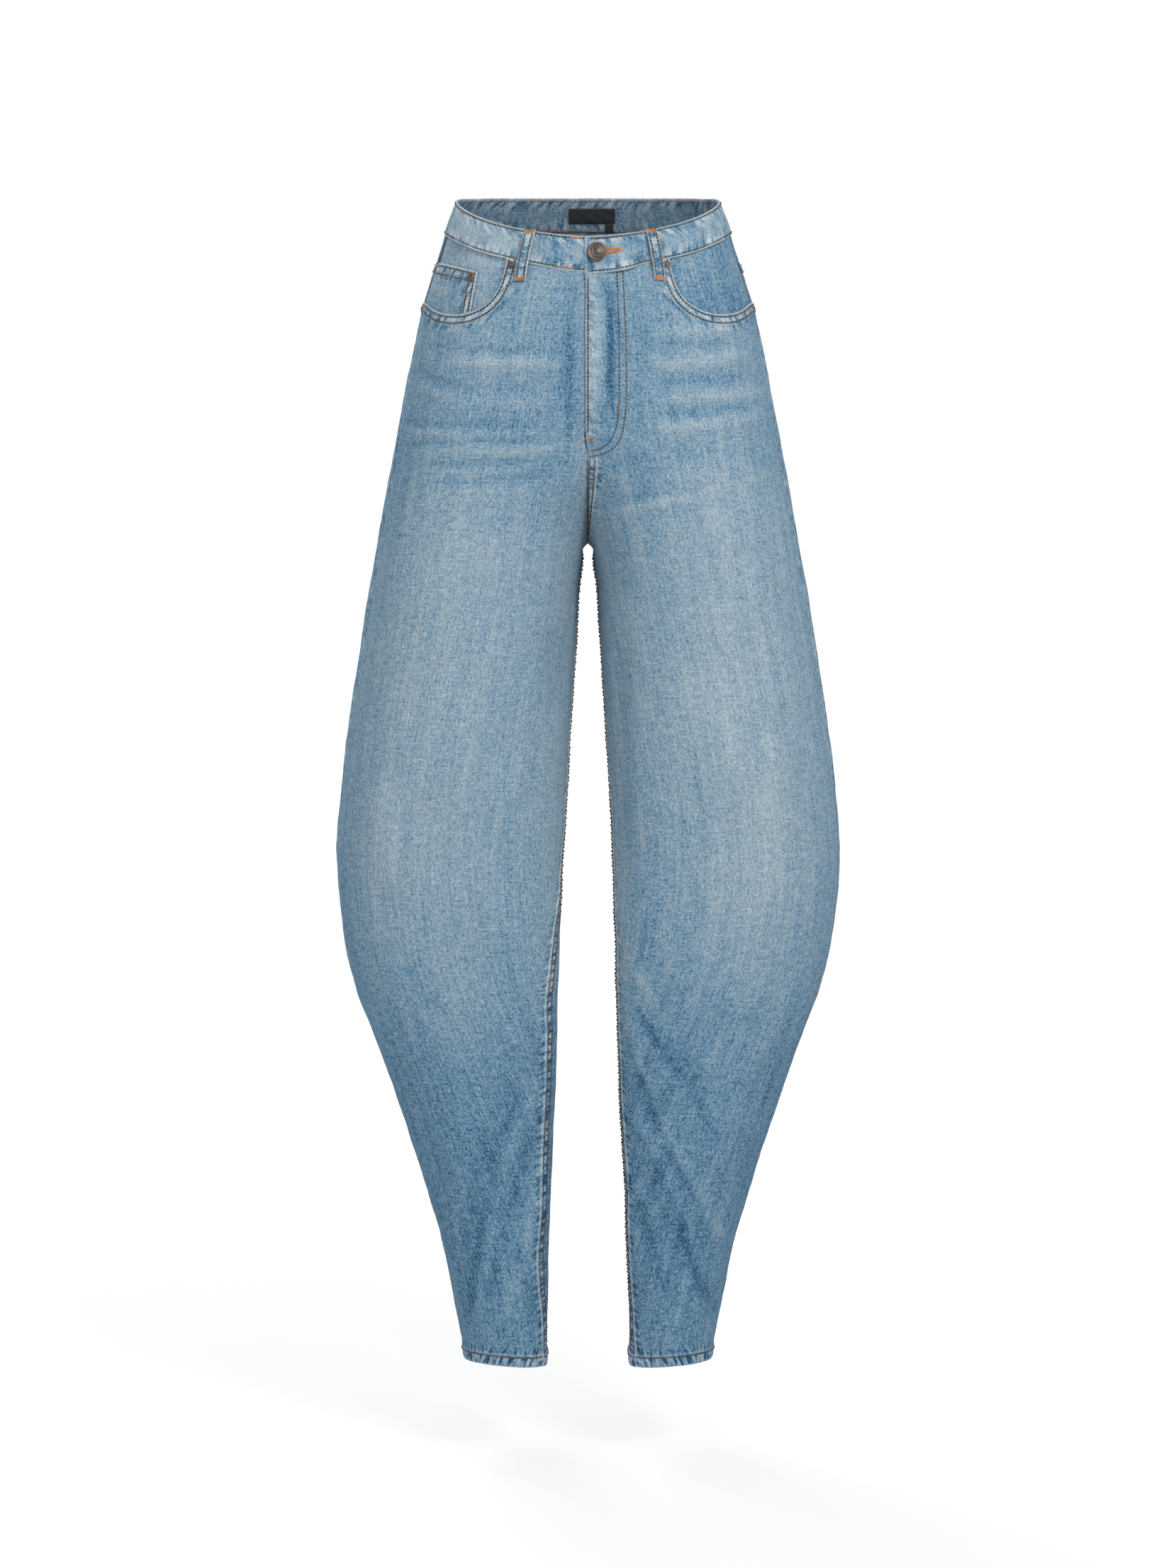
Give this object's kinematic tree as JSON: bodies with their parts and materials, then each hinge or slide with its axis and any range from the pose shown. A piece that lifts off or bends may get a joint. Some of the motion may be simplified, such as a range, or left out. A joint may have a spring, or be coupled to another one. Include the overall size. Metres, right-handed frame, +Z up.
{
  "type": "barrel leg jeans",
  "caption": "High-waisted washed blue denim jeans with barrel legs, filled out as if worn, with scooped pockets, a lapped button waist and open hems.",
  "frame": {"origin": "middle of the waist opening, at the height of the waistband's top edge at the sides", "axes": "+Z up, the front of the garment faces -Y, +X towards the wearer's left"},
  "size_m": [0.4664, 0.2444, 1.0816],
  "materials": {
    "denim": "matte",
    "patch": "matte",
    "aged_metal": "satin"
  },
  "bodies": {
    "root": {"front_panel_right": "denim", "front_panel_left": "denim", "back_panel_right": "denim", "back_panel_left": "denim", "yoke_right": "denim", "yoke_left": "denim", "pocket_facing_right": "denim", "pocket_facing_left": "denim", "coin_pocket": "denim", "back_pocket_right": "denim", "back_pocket_left": "denim", "waistband": "denim", "belt_loop_front_right": "denim", "belt_loop_front_left": "denim", "belt_loop_side_right": "denim", "belt_loop_side_left": "denim", "belt_loop_back": "denim", "neck_patch": "patch", "size_tab": "patch", "waist_button": "aged_metal", "rivet_mouth_inner_right": "aged_metal", "rivet_mouth_inner_left": "aged_metal", "rivet_mouth_outer_right": "aged_metal", "rivet_mouth_outer_left": "aged_metal", "rivet_coin_inner": "aged_metal", "rivet_coin_outer": "aged_metal"}
  },
  "joints": []
}
